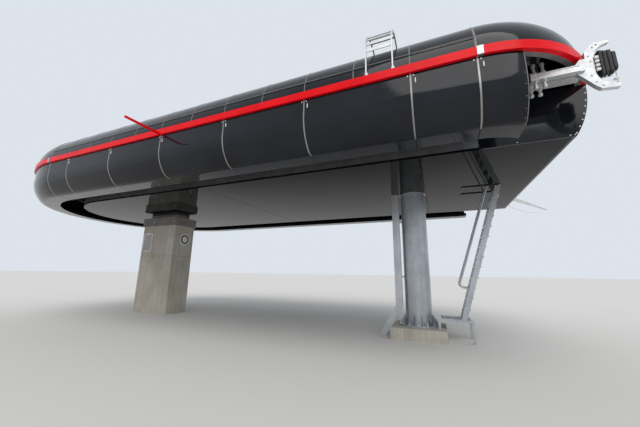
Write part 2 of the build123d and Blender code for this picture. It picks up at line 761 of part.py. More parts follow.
def fork_outline():
    """The C of a fork with its neck, in X and Z; its throat is open to the line."""
    throat_top = (FRONT_X - 38, FORK_Z + 338)
    throat_high = (FORK_THROAT_X, FORK_Z + FORK_THROAT[1])
    throat_low = (FORK_THROAT_X, FORK_Z - FORK_THROAT[1])
    throat_foot = (FRONT_X - 130, FORK_Z - 338)
    neck_x = FRONT_X - 487
    under_band = BAND_Z - FORK_BAND_GAP
    inner_face = FORK_Y - FORK_THICKNESS / 2 - CORNER_Y
    past_band = FRONT_SEAM_X + sqrt(FRONT_CORNER_R**2 - inner_face**2) + FORK_BAND_GAP
    with BuildSketch(Plane.XZ.offset(FORK_Y)) as fork:
        with BuildLine():
            ThreePointArc(throat_top, (FRONT_X - 185, FORK_Z + 273), throat_high)
            Line(throat_high, throat_low)
            ThreePointArc(throat_low, (FRONT_X - 218, FORK_Z - 255), throat_foot)
            Polyline(
                throat_foot,
                (FRONT_X + 1, FORK_Z - 388),
                (FRONT_X - 15, FORK_Z - 437),
                (FRONT_X - 224, FORK_Z - 418),
                (FRONT_X - 280, FORK_Z - 365),
                (neck_x, ARM_Z),
                (neck_x, ARM_Z + ARM_HEIGHT + 30),
                (neck_x + 60, under_band),
                (past_band, under_band),
                (past_band, FORK_Z + 245),
                (FRONT_X - 243, FORK_Z + 379),
                (FRONT_X - 37, FORK_Z + 378),
                throat_top,
            )
        make_face()
    return fork.sketch


fork = fork_outline()
arm_outer = ARM_Y + ARM_WIDTH / 2
with BuildPart() as arm:
    arm_x = (FRONT_X - ARM_BACK, FRONT_X - ARM_FRONT)
    add(block(arm_x, (-arm_outer, -arm_outer + ARM_WIDTH), (ARM_Z, ARM_Z + ARM_HEIGHT)))
    groove_y = (-arm_outer + ARM_GROOVE[0], -arm_outer + ARM_GROOVE[0] + ARM_GROOVE[1])
    add(block(arm_x, groove_y, (0, ARM_Z + ARM_GROOVE[2])), mode=Mode.SUBTRACT)
    extrude(fork, amount=FORK_THICKNESS / 2, both=True)
    for x in ROD_X:
        for y in (-ARM_Y - ROD_Y, -ARM_Y + ROD_Y):
            with BuildSketch(Plane.XY.offset(ARM_Z - ROD_BELOW)):
                with Locations((x, y)):
                    Circle(ROD_R)
            extrude(amount=ROD_BELOW + ARM_HEIGHT + ROD_ABOVE)
save_both(arm.part, "fork_arms")

with BuildPart() as arm_hangers:
    middle = sum(ROD_X) / 2
    hanger_x = (middle - HANGER[0] / 2, middle + HANGER[0] / 2)
    for side in SIDES.values():
        hanger_y = low_high(side, ARM_Y - HANGER[1] / 2, ARM_Y + HANGER[1] / 2)
        add(block(hanger_x, hanger_y, (ARM_Z + ARM_HEIGHT, FRAME_Z)))
save(arm_hangers.part, "arm_hangers")

with BuildPart() as buffer_pack:
    core_y = (-FORK_Y - BUFFER_CORE[0] / 2, -FORK_Y + BUFFER_CORE[0] / 2)
    core_z = (FORK_Z - BUFFER_CORE[1] / 2, FORK_Z + BUFFER_CORE[1] / 2)
    add(block((FORK_THROAT_X, FRONT_X - BUFFER_BACK_AND_HALF[-1][0]), core_y, core_z))
    for back, half_height in BUFFER_BACK_AND_HALF:
        with BuildSketch(Plane.YZ.offset(FRONT_X - back - BUFFER_T / 2)):
            with Locations((-FORK_Y, FORK_Z)):
                RectangleRounded(BUFFER_WIDTH, 2 * half_height, BUFFER_WIDTH / 3)
        extrude(amount=BUFFER_T)
save_both(buffer_pack.part, "fork_buffers")

horn_back = FRONT_X - ARM_BACK + 190
with BuildPart() as horn:
    with BuildSketch(Plane.XZ.offset(-HORN_Y)):
        with BuildLine():
            Polyline(
                (horn_back, 4560),
                (FRONT_X - 140, 4650),
                (FRONT_X + 990, 4010),
                (FRONT_X + 990, 3980),
                (FRONT_X - 140, 4480),
                (horn_back, 4480),
                close=True,
            )
        make_face()
    extrude(amount=HORN_T / 2, both=True)
    with BuildLine(Plane.XZ.offset(-HORN_Y)):
        rod_start = (horn_back + 20, 4500)
        Spline(rod_start, (FRONT_X - 90, 4190), (FRONT_X + 380, 3960), (FRONT_X + 975, 3990))
    with BuildSketch(Plane.XY.offset(rod_start[1])):
        with Locations((rod_start[0], HORN_Y)):
            Circle(HORN_ROD_R)
    sweep(transition=Transition.ROUND)
    post_x = [FRONT_X - back for back in HORN_POST_BACK]
    post_y = (HORN_Y - HORN_T / 2, ARM_Y - ARM_WIDTH / 2 + 60)
    add(block(post_x, post_y, (HORN_POST_Z, ARM_Z)))
save(horn.part, "guide_horn")

# Access ladder, its platform and the cable duct

with BuildPart() as ladder:
    rise = BELLY_Z - LADDER_FOOT[1]
    run = LADDER_TOP_X - LADDER_FOOT[0]
    slope = run / rise
    for side in SIDES.values():
        with BuildSketch(Plane.XZ.offset(side * LADDER_HALF_WIDTH)):
            with BuildLine():
                Polyline(
                    LADDER_FOOT,
                    (LADDER_FOOT[0] + STRINGER[1], LADDER_FOOT[1]),
                    (LADDER_TOP_X + STRINGER[1], BELLY_Z),
                    (LADDER_TOP_X, BELLY_Z),
                    close=True,
                )
            make_face()
        extrude(amount=STRINGER[0] / 2, both=True)
        with BuildLine(Plane.XZ.offset(side * LADDER_HALF_WIDTH)):
            low_x = LADDER_FOOT[0] + slope * (HANDRAIL_FOOT_Z - LADDER_FOOT[1])
            FilletPolyline(
                (low_x + 40, HANDRAIL_FOOT_Z - 160),
                (low_x - HANDRAIL_AWAY[0], HANDRAIL_FOOT_Z - 120),
                (LADDER_TOP_X - HANDRAIL_AWAY[1], BELLY_Z + HANDRAIL_R),
                radius=100,
            )
        with BuildSketch(Plane.YZ.offset(low_x + 40)):
            with Locations((-side * LADDER_HALF_WIDTH, HANDRAIL_FOOT_Z - 160)):
                Circle(HANDRAIL_R)
        sweep()
    for i in range(TREAD_COUNT):
        z = LADDER_FOOT[1] + rise * (i + 1) / (TREAD_COUNT + 1)
        x = LADDER_FOOT[0] + slope * (z - LADDER_FOOT[1])
        half_tread = LADDER_HALF_WIDTH - STRINGER[0] / 4
        add(block((x, x + TREAD[0]), (-half_tread, half_tread), (z - TREAD[1], z)))
    over_belly = block((0, FRONT_X), (-HALF_WIDTH, HALF_WIDTH), (BELLY_Z, BAND_Z))
    add(over_belly, mode=Mode.SUBTRACT)
save(ladder.part, "access_ladder")

with BuildPart() as platform:
    top = LADDER_FOOT[1]
    edge = PLATFORM_HALF_WIDTH
    add(block(PLATFORM, (-edge, edge), (top - PLATFORM_T, top)))
    inner_x = (PLATFORM[0] + GRATING_RIM, PLATFORM[1] - GRATING_RIM)
    bay = (inner_x[1] - inner_x[0] + GRATING_BAR) / GRATING_BAYS
    for i in range(GRATING_BAYS):
        low = inner_x[0] + bay * i
        for side in SIDES.values():
            gap_y = low_high(side, GRATING_BAR / 2, edge - GRATING_RIM)
            gap = block((low, low + bay - GRATING_BAR), gap_y, (0, 2 * top))
            add(gap, mode=Mode.SUBTRACT)
    for x, foot in ((PLATFORM[0], FOOTING_HEIGHT), (PLATFORM[1] - LEG, 0)):
        for y in (-edge, edge - LEG):
            add(block((x, x + LEG), (y, y + LEG), (foot, top - PLATFORM_T)))
save(platform.part, "ladder_platform")

with BuildPart() as duct:
    half = DUCT_LENGTH / 2
    with BuildSketch(Plane.XZ.offset(-DUCT_Y)):
        with BuildLine():
            Polyline(
                (DUCT_X - half, BELLY_Z),
                (DUCT_X - half, DUCT_ELBOW_Z),
                (DUCT_FOOT_X - half, 0),
                (DUCT_FOOT_X + half, 0),
                (DUCT_X + half, DUCT_ELBOW_Z),
                (DUCT_X + half, BELLY_Z),
                close=True,
            )
        make_face()
    extrude(amount=DUCT_WIDTH / 2, both=True)
    clip = DUCT_CLIP / 2
    mast_x = -sqrt(MAST_R**2 - (DUCT_Y + clip) ** 2)
    for z in DUCT_CLIP_Z:
        add(block((DUCT_X + half, mast_x), (DUCT_Y - clip, DUCT_Y + clip), (z, z + DUCT_CLIP)))
save(duct.part, "cable_duct")

# Roof ladder, roof line and the red outrigger

crown_centre_z = BAND_TOP - sqrt((CROWN_R - SHOULDER_R) ** 2 - (SHOULDER_Y - CORNER_Y) ** 2)
end_y = HALF_WIDTH - ROOF_LADDER_END_INSET
seat_z = crown_centre_z + sqrt(CROWN_R**2 - (end_y - CORNER_Y) ** 2) + SEAT_GAP
foot_y = HALF_WIDTH - ROOF_LADDER_INSET
ladder_top = (-HALF_WIDTH + ROOF_LADDER_TOP_INSET, BAND_TOP + ROOF_LADDER_RISE)
with BuildPart() as roof_ladder:
    for x in ROOF_LADDER_X:
        with BuildSketch(Plane.YZ.offset(x)):
            with BuildLine():
                bend = (-foot_y, BAND_TOP + ROOF_LADDER_BEND)
                Line((-foot_y, BAND_TOP), bend)
                curve = TangentArc(bend, ladder_top, tangent=(0, 1))
                Line(ladder_top, (-end_y, seat_z))
                offset(amount=ROOF_RAIL[1], side=Side.LEFT, closed=True)
            make_face()
        extrude(amount=ROOF_RAIL[0])
    for i in range(SLAT_COUNT):
        place = curve @ (i / (SLAT_COUNT - 1))
        heading = curve % (i / (SLAT_COUNT - 1))
        slat_plane = Plane(
            origin=(ROOF_LADDER_X[0], place.X, place.Y),
            x_dir=(0, heading.X, heading.Y),
            z_dir=(1, 0, 0),
        )
        with BuildSketch(slat_plane):
            with Locations((0, ROOF_RAIL[1] / 2)):
                Rectangle(*SLAT)
        extrude(amount=ROOF_LADDER_X[1] - ROOF_LADDER_X[0] + ROOF_RAIL[0])
save(roof_ladder.part, "roof_ladder")

line_angle = radians(LINE_ANGLE)
line_r = SHOULDER_R + LINE_AWAY
line_y = -SHOULDER_Y - line_r * cos(line_angle)
line_z = BAND_TOP + line_r * sin(line_angle)
with BuildPart() as roof_line:
    with BuildSketch(Plane.YZ.offset(REAR_X)):
        with Locations((line_y, line_z)):
            Circle(LINE_R)
    extrude(amount=FRONT_SEAM_X - REAR_X)
    stand = Plane(
        origin=(0, -SHOULDER_Y, BAND_TOP),
        x_dir=(1, 0, 0),
        z_dir=(0, -cos(line_angle), sin(line_angle)),
    )
    with BuildSketch(stand.offset(SHOULDER_R)):
        for i in range(ROOF_STRIP_COUNT):
            with Locations((FRONT_SEAM_X - ROOF_STRIP * (i + 0.5), 0)):
                Rectangle(12, 12)
    extrude(amount=LINE_AWAY)
save(roof_line.part, "roof_line")

with BuildPart() as outrigger:
    x = COVER_SEAMS[OUTRIGGER_SEAM]
    half = OUTRIGGER_SIDE / 2
    z = BAND_Z + half
    reach = (-HALF_WIDTH - OUTRIGGER_REACH, -HALF_WIDTH)
    add(block((x - half, x + half), reach, (z - half, z + half)))
save(outrigger.part, "outrigger")
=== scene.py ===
from itertools import product
from math import asin, atan2, cos, hypot, pi, radians, sin, sqrt

import bmesh
import bpy
from mathutils import Matrix, Vector


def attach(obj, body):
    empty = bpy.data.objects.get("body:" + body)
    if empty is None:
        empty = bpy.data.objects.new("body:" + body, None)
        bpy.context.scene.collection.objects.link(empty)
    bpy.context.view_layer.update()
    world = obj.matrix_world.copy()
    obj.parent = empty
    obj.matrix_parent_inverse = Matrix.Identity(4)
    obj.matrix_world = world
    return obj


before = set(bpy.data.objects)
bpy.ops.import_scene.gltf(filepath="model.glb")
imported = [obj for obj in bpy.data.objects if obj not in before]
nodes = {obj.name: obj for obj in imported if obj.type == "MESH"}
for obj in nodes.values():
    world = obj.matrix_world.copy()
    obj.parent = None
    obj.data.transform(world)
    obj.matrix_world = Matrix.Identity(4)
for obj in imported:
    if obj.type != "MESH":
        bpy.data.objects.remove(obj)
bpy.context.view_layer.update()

# Looks for a ropeway terminal station. Metres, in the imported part's frame:
# +X is the line side, -Y the near side, +Z up, the origin on the mast's axis.

# The near side and the far side, as signs of Y
SIDES = (-1, 1)

# Covers and roof. Sections are (u, z), with u from the centreline of the body or from
# the middle of its round end. The roof is two arcs, the shoulder and the crown.
CORNER_Y = 2.52
FRONT_SEAM = 1.39
REAR_X = -10.61
MOUTH_X = {-1: 2.03, 1: 1.75}
LIP_Z = 4.01
BAND_Z = 5.03
BAND_TOP = 5.18
ROOF_TOP = 6.3735
SHOULDER_U, SHOULDER_R = 3.475, 0.9
CROWN_U, CROWN_Z, CROWN_R = 2.52, 3.7735, 2.6
COVER = ((4.37, BAND_Z), (4.37, 4.65), (4.15, 4.09))
SIDE_SEAMS = (FRONT_SEAM, 0.39, -1.61, -3.61, -5.61, -7.61, -9.61, REAR_X)
ROOF_SEAMS = [0.39 - i for i in range(12)]
END_SEAMS = (FRONT_SEAM, REAR_X)
REAR_SEAM_ANGLES = (150, 210)

# Joint strips, each (width, thickness), and how far a strip's back lies in the cover
SIDE_STRIP = (0.03, 0.005)
ROOF_STRIP = (0.02, 0.004)
END_STRIP = (0.032, 0.005)
TRIM_STRIP = (0.012, 0.002)
STRIP_SINK = 0.002

# Clamps, mouth edges, the band's sleeves and the roof ladder's feet
CLAMP_RIVET_Z = 4.985
CLAMP_Z = 4.88
MOUTH_RIVET_BACK = 0.04
SLEEVE_R = 1.906
SLEEVE_BOLT_X = (1.412, 1.458)
SLEEVE_BOLT_Z = (5.06, 5.15)
ROOF_LADDER_X = (-0.358, 0.112)
ROOF_LADDER_FOOT_Z = 5.215

# Belly and nose, the nose's front as (x, z)
BELLY_Z = 4.08
BELLY_Y = 2.92
NOSE_WALL_Y = BELLY_Y + 0.03
NOSE_FRONT = ((3.225, BAND_Z), (3.207, 4.72), (3.115, 4.36), (2.975, BELLY_Z))
NOSE_RIVET_STEP = 0.13
NOSE_FOOT_RIVET_X = (2.89, 2.955, 2.11)
NOSE_JOINT_Y = (-1.0, 1.0)
SCREW_STEP = 0.25
SCREW_ROW_X = (0.35, 0.43, -5.57, -5.65)
HATCH_X = 1.77
HATCH_LENGTH = 0.88
HATCH_BAR_X = 1.345

# Mast, pillar and ladder. A mast ring is (height, how far it stands out, how tall it is).
MAST_R = 0.3555
FLANGE_TOP = 0.345
ANCHOR_R = 0.455
ANCHOR_COUNT = 12
MAST_RINGS = ((4.06, 0.03, 0.02), (2.06, 0.009, 0.016), (2.92, 0.008, 0.014))
PILLAR_FACE_X = -9.42
PILLAR_FACE_Y = -0.5
ROUND_PLATE_YZ = (0.04, 3.02)
NOTICE_SIDE_X = (-11.215, -10.705)
NOTICE_EDGE_Z = (2.515, 3.265)
NOTICE_X, NOTICE_Z = -10.96, 2.89
BEARING_BOLT_X = (-11.2, -10.65, -10.1, -9.55)
BEARING_FACE_Y = 0.53
BEARING_BOLT_Z = 3.75
LADDER_FOOT = (1.065, 0.56)
LADDER_TOP_X = 2.162
LADDER_HALF = 0.3
TREAD_COUNT = 12
TREAD_HALF = 0.27

# Fork arms, with bolts as (x, z), and buffers, with pads and plates as (x, half height)
ARM_Y = 3.6
ARM_BACK_X = 2.215
ARM_Z = (4.8, 4.91)
ROD_X = (2.27, 2.39)
ROD_Z = (4.69, 5.08)
ROD_Y = 0.12
FORK_Y = 3.675
FORK_Z = 4.89
FORK_HALF = 0.04
FORK_BOLTS = (
    (2.9, 4.9), (2.98, 5.06), (3.0, 4.96), (2.98, 4.72),
    (3.05, 5.2), (3.1, 5.23), (3.02, 4.6), (3.09, 4.52),
)
BUFFER_PADS = ((3.11, 0.225), (3.162, 0.205), (3.214, 0.205), (3.262, 0.16))
BUFFER_PLATES = ((3.136, 0.19), (3.188, 0.18), (3.238, 0.14))
BUFFER_CLIP_Z = (5.0, 4.93, 4.86, 4.79)
DROP_ROD_X = 3.275

# Mechanism
BULLWHEEL_Z = 4.8
HUB_BOLT_R = 0.2
HUB_BOLT_COUNT = 16
LINER_R = 2.985
LINER_CLIP_COUNT = 48
SPOKE_COUNT = 8
TYRE_X = (1.06, 0.54, 0.02, -0.5)
TYRE_PITCH = 0.52
TYRE_Y = 3.06
TYRE_HUB_R = 0.112
TYRE_BOLT_R = 0.075
TYRE_BOLT_COUNT = 5
AXLE_Z = 5.08

# Two faces that meet at more than this angle keep a sharp edge
SHARP_ANGLE = 30


# Materials

DUST = (0.16, 0.155, 0.145)
RED_GRIME = (0.3, 0.03, 0.03)
DAMP_JOINT = (0.12, 0.11, 0.1)
BOARD_WIDTH = 0.32
POUR_LINE_Z = 2.3


def material(name, metallic=0.0, roughness=0.5, coat=0.0, coat_roughness=0.05, ior=1.5):
    mat = bpy.data.materials.new(name)
    mat.use_nodes = True
    shader = mat.node_tree.nodes["Principled BSDF"]
    shader.inputs["Metallic"].default_value = metallic
    shader.inputs["Roughness"].default_value = roughness
    shader.inputs["Coat Weight"].default_value = coat
    shader.inputs["Coat Roughness"].default_value = coat_roughness
    shader.inputs["IOR"].default_value = ior
    return mat, mat.node_tree, shader


def add_node(tree, kind, **values):
    node = tree.nodes.new(kind)
    for key, value in values.items():
        node.inputs[key].default_value = value
    return node


def place(tree, stretch=(1, 1, 1)):
    """Object coordinates, stretched."""
    where = tree.nodes.new("ShaderNodeTexCoord")
    mapping = add_node(tree, "ShaderNodeMapping", Scale=stretch)
    tree.links.new(where.outputs["Object"], mapping.inputs["Vector"])
    return mapping.outputs["Vector"]


def noise(tree, vector, scale, detail, rough=0.5):
    node = add_node(tree, "ShaderNodeTexNoise", Scale=scale, Detail=detail, Roughness=rough)
    tree.links.new(vector, node.inputs["Vector"])
    return node.outputs["Fac"]


def ramp(tree, fac, stops):
    """Colours between (place, colour) stops."""
    node = tree.nodes.new("ShaderNodeValToRGB")
    elements = node.color_ramp.elements
    while len(elements) < len(stops):
        elements.new(0.5)
    for element, (spot, colour) in zip(elements, stops):
        element.position = spot
        element.color = (*colour, 1.0)
    tree.links.new(fac, node.inputs["Fac"])
    return node.outputs["Color"]


def spread(tree, fac, low, high, from_low=0.3, from_high=0.7):
    """A factor mapped to the range from low to high."""
    node = tree.nodes.new("ShaderNodeMapRange")
    node.inputs["From Min"].default_value = from_low
    node.inputs["From Max"].default_value = from_high
    node.inputs["To Min"].default_value = low
    node.inputs["To Max"].default_value = high
    tree.links.new(fac, node.inputs["Value"])
    return node.outputs["Result"]


def calc(tree, operation, a, b=None):
    node = tree.nodes.new("ShaderNodeMath")
    node.operation = operation
    for socket, value in zip(node.inputs, (a, b)):
        if isinstance(value, (int, float)):
            socket.default_value = value
        elif value is not None:
            tree.links.new(value, socket)
    return node.outputs["Value"]


def mix(tree, fac, a, b):
    """Colour a where fac is 0, colour b where it is 1."""
    node = tree.nodes.new("ShaderNodeMix")
    node.data_type = "RGBA"
    for socket, value in ((node.inputs[0], fac), (node.inputs[6], a), (node.inputs[7], b)):
        if isinstance(value, (int, float)):
            socket.default_value = value
        elif isinstance(value, tuple):
            socket.default_value = (*value, 1.0)
        else:
            tree.links.new(value, socket)
    return node.outputs[2]


def bump(tree, shader, height, strength, distance):
    node = add_node(tree, "ShaderNodeBump", Strength=strength, Distance=distance)
    tree.links.new(height, node.inputs["Height"])
    tree.links.new(node.outputs["Normal"], shader.inputs["Normal"])


def finish_with(tree, shader, colour, roughness):
    tree.links.new(colour, shader.inputs["Base Color"])
    tree.links.new(roughness, shader.inputs["Roughness"])


def split_xyz(tree, vector):
    split = tree.nodes.new("ShaderNodeSeparateXYZ")
    tree.links.new(vector, split.inputs[0])
    return split.outputs


def cells(tree, vector, scale):
    node = add_node(tree, "ShaderNodeTexVoronoi", Scale=scale)
    tree.links.new(vector, node.inputs["Vector"])
    return node.outputs


def near(tree, value, spot, reach):
    """1 where the value lies within reach of the spot, else 0."""
    distance = calc(tree, "ABSOLUTE", calc(tree, "SUBTRACT", value, spot))
    return calc(tree, "LESS_THAN", distance, reach)


def gloss_black(name, dark, light, rough, coat, ior):
    """Glossy black cover skin: slight waviness, faint dust on what faces up."""
    mat, tree, shader = material(name, coat=coat, coat_roughness=0.03, ior=ior)
    where = place(tree)
    cloud = noise(tree, where, 0.8, 4.0)
    dust = noise(tree, place(tree, (1, 1, 2.5)), 5.0, 6.0, 0.65)
    facing = tree.nodes.new("ShaderNodeNewGeometry")
    lying = spread(tree, split_xyz(tree, facing.outputs["Normal"])["Z"], 0.0, 0.5, 0.2, 1.0)
    powder = calc(tree, "MULTIPLY", lying, spread(tree, dust, 0.0, 0.35, 0.42, 0.75))
    paint = ramp(tree, cloud, ((0.35, dark), (0.65, light)))
    finish_with(tree, shader, mix(tree, powder, paint, DUST), spread(tree, dust, *rough))
    bump(tree, shader, noise(tree, place(tree, (1.0, 0.7, 1.6)), 1.1, 1.0), 0.12, 0.02)
    return mat


def gloss_red(name):
    """Glossy red paint with a little grime in level streaks."""
    mat, tree, shader = material(name, coat=0.05, coat_roughness=0.08, ior=1.22)
    where = place(tree)
    cloud = noise(tree, where, 1.7, 5.0)
    grime = noise(tree, place(tree, (0.6, 0.6, 9)), 3.0, 5.0, 0.7)
    paint = ramp(tree, cloud, ((0.3, (0.8, 0.002, 0.006)), (0.7, (0.93, 0.004, 0.012))))
    worn = mix(tree, spread(tree, grime, 0.0, 0.1, 0.5, 0.8), paint, RED_GRIME)
    finish_with(tree, shader, worn, spread(tree, grime, 0.2, 0.34))
    bump(tree, shader, noise(tree, where, 2.2, 2.0), 0.08, 0.01)
    return mat


def galvanised(name, dark, light, rough, metallic, grain=38.0):
    """Zinc-coated steel: crystal patches, cloudy tone and a faint run of streaks."""
    mat, tree, shader = material(name, metallic=metallic)
    where = place(tree)
    spangle = tree.nodes.new("ShaderNodeSeparateColor")
    tree.links.new(cells(tree, where, grain)["Color"], spangle.inputs[0])
    cloud = noise(tree, where, 2.4, 5.0, 0.6)
    streak = noise(tree, place(tree, (7, 7, 0.6)), 1.4, 4.0)
    tone = calc(tree, "MULTIPLY", spangle.outputs[0], 0.07)
    for part, share in ((cloud, 0.5), (streak, 0.4)):
        tone = calc(tree, "ADD", tone, calc(tree, "MULTIPLY", part, share))
    colour = ramp(tree, tone, ((0.3, dark), (0.68, light)))
    finish_with(tree, shader, colour, spread(tree, spangle.outputs[1], *rough, 0.0, 1.0))
    bump(tree, shader, noise(tree, where, 6.0, 2.0), 0.12, 0.004)
    return mat


def painted_steel(name, base, rough=0.42, metallic=0.0):
    """Plain paint or dull metal with a cloudy tone."""
    mat, tree, shader = material(name, metallic=metallic)
    where = place(tree)
    cloud = noise(tree, where, 3.0, 5.0, 0.6)
    darker = tuple(c * 0.75 for c in base)
    lighter = tuple(min(1.0, c * 1.2) for c in base)
    colour = ramp(tree, cloud, ((0.3, darker), (0.7, lighter)))
    grain = noise(tree, where, 22.0, 3.0)
    finish_with(tree, shader, colour, spread(tree, grain, rough - 0.08, rough + 0.08))
    bump(tree, shader, noise(tree, where, 90.0, 2.0), 0.15, 0.001)
    return mat


def concrete(name):
    """Cast concrete: board marks, a pour line, pores and damp patches."""
    mat, tree, shader = material(name, roughness=0.85)
    where = place(tree)
    cloud = noise(tree, where, 1.3, 8.0, 0.62)
    fine = noise(tree, where, 26.0, 6.0, 0.6)
    streak = noise(tree, place(tree, (5, 5, 0.35)), 1.6, 5.0, 0.6)
    xyz = split_xyz(tree, where)
    across = calc(tree, "ADD", xyz["X"], xyz["Y"])
    board = calc(tree, "FRACT", calc(tree, "DIVIDE", calc(tree, "ADD", across, 0.02), BOARD_WIDTH))
    board_gap = near(tree, board, 0.5, 0.012)
    lift = near(tree, xyz["Z"], POUR_LINE_Z, 0.007)
    groove = calc(tree, "MAXIMUM", calc(tree, "MULTIPLY", board_gap, 0.5), lift)
    pit = calc(tree, "LESS_THAN", cells(tree, where, 30.0)["Distance"], 0.13)
    tone = calc(tree, "MULTIPLY", cloud, 0.5)
    for part, share in ((streak, 0.35), (fine, 0.15)):
        tone = calc(tree, "ADD", tone, calc(tree, "MULTIPLY", part, share))
    tones = ((0.32, (0.34, 0.315, 0.265)), (0.5, (0.5, 0.47, 0.405)), (0.68, (0.64, 0.61, 0.54)))
    body = ramp(tree, tone, tones)
    marks = calc(tree, "MAXIMUM", groove, calc(tree, "MULTIPLY", pit, 0.6))
    shade = mix(tree, calc(tree, "MULTIPLY", marks, 0.55), body, DAMP_JOINT)
    tree.links.new(shade, shader.inputs["Base Color"])
    dents = calc(tree, "MAXIMUM", groove, pit)
    height = calc(tree, "SUBTRACT", calc(tree, "MULTIPLY", fine, 0.5), dents)
    bump(tree, shader, height, 0.35, 0.004)
    return mat


def rubber(name, base):
    mat, tree, shader = material(name)
    where = place(tree)
    cloud = noise(tree, where, 9.0, 5.0, 0.6)
    lighter = tuple(c * 2.2 for c in base)
    colour = ramp(tree, cloud, ((0.3, base), (0.75, lighter)))
    finish_with(tree, shader, colour, spread(tree, noise(tree, where, 40.0, 3.0), 0.5, 0.72))
    bump(tree, shader, noise(tree, where, 120.0, 3.0), 0.2, 0.001)
    return mat


def tyre_and_hub(name):
    """Black tread outside the hub's radius, zinc inside it, on every tyre of the row."""
    mat, tree, shader = material(name)
    where = place(tree)
    xyz = split_xyz(tree, where)
    along = calc(tree, "DIVIDE", calc(tree, "SUBTRACT", xyz["X"], TYRE_X[0]), TYRE_PITCH)
    off_centre = calc(tree, "SUBTRACT", along, calc(tree, "ROUND", along))
    from_axle = calc(tree, "MULTIPLY", off_centre, TYRE_PITCH)
    up = calc(tree, "SUBTRACT", xyz["Z"], AXLE_Z)
    squares = calc(tree, "ADD", calc(tree, "POWER", from_axle, 2.0), calc(tree, "POWER", up, 2.0))
    tread = calc(tree, "GREATER_THAN", calc(tree, "SQRT", squares), TYRE_HUB_R)
    cloud = noise(tree, where, 12.0, 4.0)
    black = ramp(tree, cloud, ((0.3, (0.014, 0.014, 0.015)), (0.75, (0.04, 0.04, 0.042))))
    hub = ramp(tree, cloud, ((0.3, (0.35, 0.37, 0.39)), (0.7, (0.58, 0.6, 0.62))))
    roughness = calc(tree, "ADD", 0.4, calc(tree, "MULTIPLY", tread, 0.25))
    finish_with(tree, shader, mix(tree, tread, hub, black), roughness)
    metallic = calc(tree, "SUBTRACT", 0.8, calc(tree, "MULTIPLY", tread, 0.8))
    tree.links.new(metallic, shader.inputs["Metallic"])
    bump(tree, shader, noise(tree, where, 70.0, 2.0), 0.15, 0.001)
    return mat


black_skin = gloss_black(
    "black_skin", dark=(0.005, 0.006, 0.009), light=(0.011, 0.013, 0.018),
    rough=(0.05, 0.12), coat=0.05, ior=1.34,
)
# The belly's skin: a darker, less glossy copy of the black skin, painted shade that stands in for
# the shaded ground it reflects
belly_black_painted_shade = gloss_black(
    "belly_black_painted_shade", dark=(0.004, 0.005, 0.005), light=(0.008, 0.009, 0.009),
    rough=(0.04, 0.09), coat=0.0, ior=1.12,
)
red_skin = gloss_red("red_skin")
zinc = galvanised(
    "zinc", dark=(0.4, 0.42, 0.44), light=(0.66, 0.68, 0.7), rough=(0.3, 0.42), metallic=0.8
)
pale_zinc = galvanised(
    "pale_zinc", dark=(0.52, 0.53, 0.54), light=(0.74, 0.75, 0.76), rough=(0.34, 0.48), metallic=0.5
)
# A darker copy of the zinc: painted shade for the mast and the guide rail, which stand largely in
# shade under the station
shade_dark_zinc = galvanised(
    "shade_dark_zinc", dark=(0.34, 0.365, 0.39), light=(0.56, 0.585, 0.61),
    rough=(0.34, 0.38), metallic=0.85, grain=16.0,
)
dark_steel = painted_steel("dark_steel", (0.035, 0.037, 0.041))
grey_steel = painted_steel("grey_steel", (0.2, 0.19, 0.18))
strip_metal = painted_steel("strip_metal", (0.32, 0.32, 0.3), rough=0.36, metallic=0.6)
white_metal = painted_steel("white_metal", (0.84, 0.84, 0.82), rough=0.4)
notice_metal = painted_steel("notice_metal", (0.46, 0.45, 0.45), rough=0.45)
cast_concrete = concrete("cast_concrete")
black_rubber = rubber("black_rubber", (0.018, 0.018, 0.019))
tyre_skin = tyre_and_hub("tyre_skin")

FINISHES = {
    black_skin: (
        "roof_covers", "roof_front_cap", "roof_rear_cap", "side_covers", "side_covers_rear",
        "rear_lips", "mouth_covers", "nose",
    ),
    # The belly panels take the black skin darkened with painted shade
    belly_black_painted_shade: ("belly_panels",),
    red_skin: ("bands_side", "band_front", "band_rear", "outrigger"),
    pale_zinc: ("fork_arms", "roof_ladder", "guide_horn"),
    zinc: (
        "cross_beams", "tie_beams", "frame_posts", "band_clips", "rail_brackets", "conveyors",
        "bullwheel_shaft", "access_ladder", "ladder_platform", "cable_duct", "band_sleeves",
    ),
    # The mast and the guide rail take the zinc that is darkened with painted shade
    shade_dark_zinc: ("mast", "guide_rail"),
    dark_steel: ("main_girder", "running_rail", "bullwheel", "arm_hangers"),
    grey_steel: ("mouth_ledge", "pillar_bearing", "roof_line"),
    cast_concrete: ("mast_footing", "pillar"),
    black_rubber: ("fork_buffers",),
    tyre_skin: tuple(n for n in nodes if n.startswith("tyre_")),
}
for finish, names in FINISHES.items():
    for name in names:
        mesh = nodes[name].data
        mesh.materials.clear()
        mesh.materials.append(finish)


# Building helpers


def new_piece(name, mesh_builder, finish, body="station"):
    """A mesh piece from a bmesh that the builder fills; it rides on a body."""
    bm = bmesh.new()
    mesh_builder(bm)
    bmesh.ops.recalc_face_normals(bm, faces=bm.faces)
    mesh = bpy.data.meshes.new(name)
    bm.to_mesh(mesh)
    bm.free()
    mesh.materials.append(finish)
    piece = bpy.data.objects.new(name, mesh)
    bpy.context.scene.collection.objects.link(piece)
    mesh.shade_smooth()
    mesh.set_sharp_from_angle(angle=radians(SHARP_ANGLE))
    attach(piece, body)


